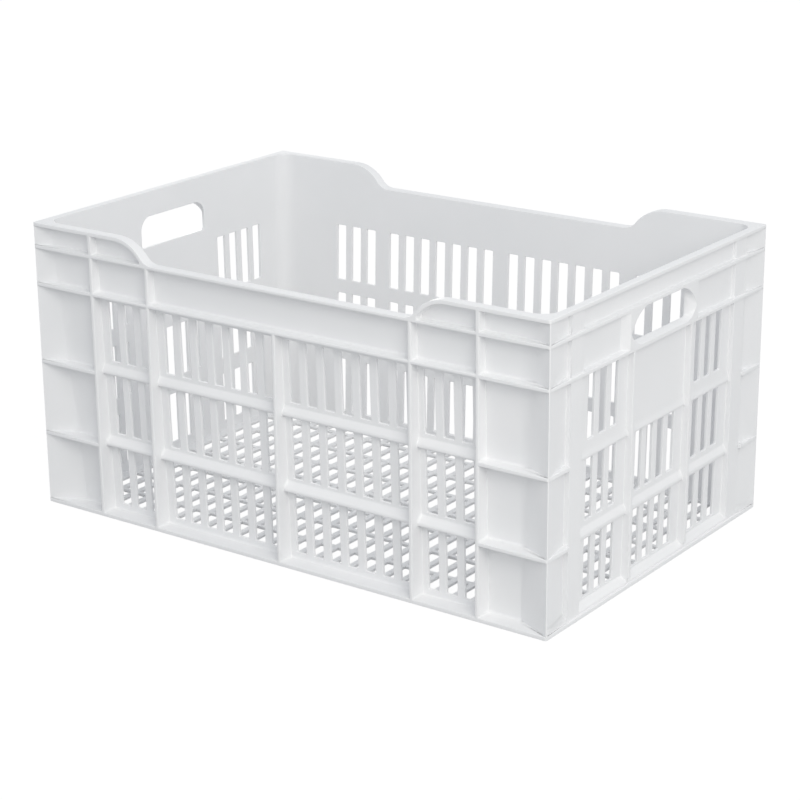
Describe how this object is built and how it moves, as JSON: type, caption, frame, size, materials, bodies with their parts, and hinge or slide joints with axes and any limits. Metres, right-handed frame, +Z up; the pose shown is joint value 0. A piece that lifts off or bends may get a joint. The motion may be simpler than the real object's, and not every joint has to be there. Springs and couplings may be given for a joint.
{
  "type": "ventilated stacking crate",
  "caption": "Open-topped rectangular moulded crate with slotted drafted walls, outside ribs, raised rounded corner shoulders, a flared hand-hole in each end and a perforated floor.",
  "frame": {"origin": "centre of the footprint, on the plane the crate stands on", "axes": "+X along the long walls towards the right end, -Y towards the front long wall, +Z up"},
  "size_m": [0.6, 0.394, 0.294],
  "materials": {
    "white_hdpe": "white injection-moulded polyethylene, fine satin tool texture"
  },
  "bodies": {
    "root": {"floor_grid": "white_hdpe", "front_base_rib": "white_hdpe", "front_left_corner_gusset": "white_hdpe", "front_left_corner_skin": "white_hdpe", "front_left_corner_webs": "white_hdpe", "front_left_shoulder_rim": "white_hdpe", "front_lower_ribs": "white_hdpe", "front_mid_rail": "white_hdpe", "front_middle_ribs": "white_hdpe", "front_right_corner_gusset": "white_hdpe", "front_right_corner_skin": "white_hdpe", "front_right_corner_webs": "white_hdpe", "front_right_shoulder_rim": "white_hdpe", "front_shoulder_panels": "white_hdpe", "front_upper_rib": "white_hdpe", "front_upper_uprights": "white_hdpe", "front_uprights": "white_hdpe", "front_wall_panel": "white_hdpe", "left_base_rib": "white_hdpe", "left_end_panel": "white_hdpe", "left_end_rim": "white_hdpe", "left_grip_lintel": "white_hdpe", "left_grip_panel": "white_hdpe", "left_grip_sill": "white_hdpe", "left_grip_surround": "white_hdpe", "left_header_panel": "white_hdpe", "left_lower_ribs": "white_hdpe", "left_middle_ribs": "white_hdpe", "left_posts": "white_hdpe", "left_uprights": "white_hdpe", "rear_base_rib": "white_hdpe", "rear_left_corner_gusset": "white_hdpe", "rear_left_corner_skin": "white_hdpe", "rear_left_corner_webs": "white_hdpe", "rear_left_shoulder_rim": "white_hdpe", "rear_lower_ribs": "white_hdpe", "rear_mid_rail": "white_hdpe", "rear_middle_ribs": "white_hdpe", "rear_right_corner_gusset": "white_hdpe", "rear_right_corner_skin": "white_hdpe", "rear_right_corner_webs": "white_hdpe", "rear_right_shoulder_rim": "white_hdpe", "rear_shoulder_panels": "white_hdpe", "rear_upper_rib": "white_hdpe", "rear_upper_uprights": "white_hdpe", "rear_uprights": "white_hdpe", "rear_wall_panel": "white_hdpe", "right_base_rib": "white_hdpe", "right_end_panel": "white_hdpe", "right_end_rim": "white_hdpe", "right_grip_lintel": "white_hdpe", "right_grip_panel": "white_hdpe", "right_grip_sill": "white_hdpe", "right_grip_surround": "white_hdpe", "right_header_panel": "white_hdpe", "right_lower_ribs": "white_hdpe", "right_middle_ribs": "white_hdpe", "right_posts": "white_hdpe", "right_uprights": "white_hdpe"}
  },
  "joints": []
}
